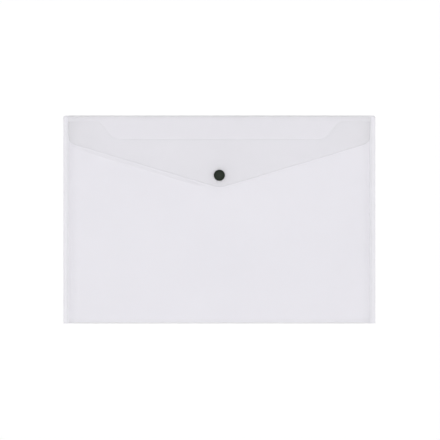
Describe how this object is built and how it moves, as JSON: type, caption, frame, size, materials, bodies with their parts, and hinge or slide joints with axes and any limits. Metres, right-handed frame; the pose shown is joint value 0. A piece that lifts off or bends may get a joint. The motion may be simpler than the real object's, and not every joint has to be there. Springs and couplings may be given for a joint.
{
  "type": "document wallet",
  "caption": "Clear film document wallet: a flat pouch welded at its sides, with a pointed flap on a creased spine that closes over the front with a press stud.",
  "frame": {"origin": "centre of the box that holds the closed wallet, on the face that it lies on", "axes": "+X across the wallet, +Y towards the flap's fold, +Z out of the front"},
  "size_m": [0.355, 0.2368, 0.0103],
  "materials": {
    "film": "clear polypropylene film with a fine frosted grain",
    "press_stud": "black moulded plastic, satin"
  },
  "bodies": {
    "pouch": {"back_panel": "film", "front_panel": "film", "bottom_fold": "film", "left_side_weld": "film", "right_side_weld": "film", "front_stud": "press_stud", "front_rivet": "press_stud"},
    "spine": {"spine": "film"},
    "flap": {"flap": "film", "flap_cap": "press_stud", "flap_socket": "press_stud"}
  },
  "joints": [
    {"name": "lower_crease", "type": "hinge", "parent": "pouch", "child": "spine", "pos_m": [0, 0.1183, 0.0001], "axis": [-1, 0, 0], "range_deg": [0, 106]},
    {"name": "upper_crease", "type": "hinge", "parent": "spine", "child": "flap", "pos_m": [0, 0.1158, 0.0087], "axis": [-1, 0, 0], "range_deg": [0, 72]}
  ]
}
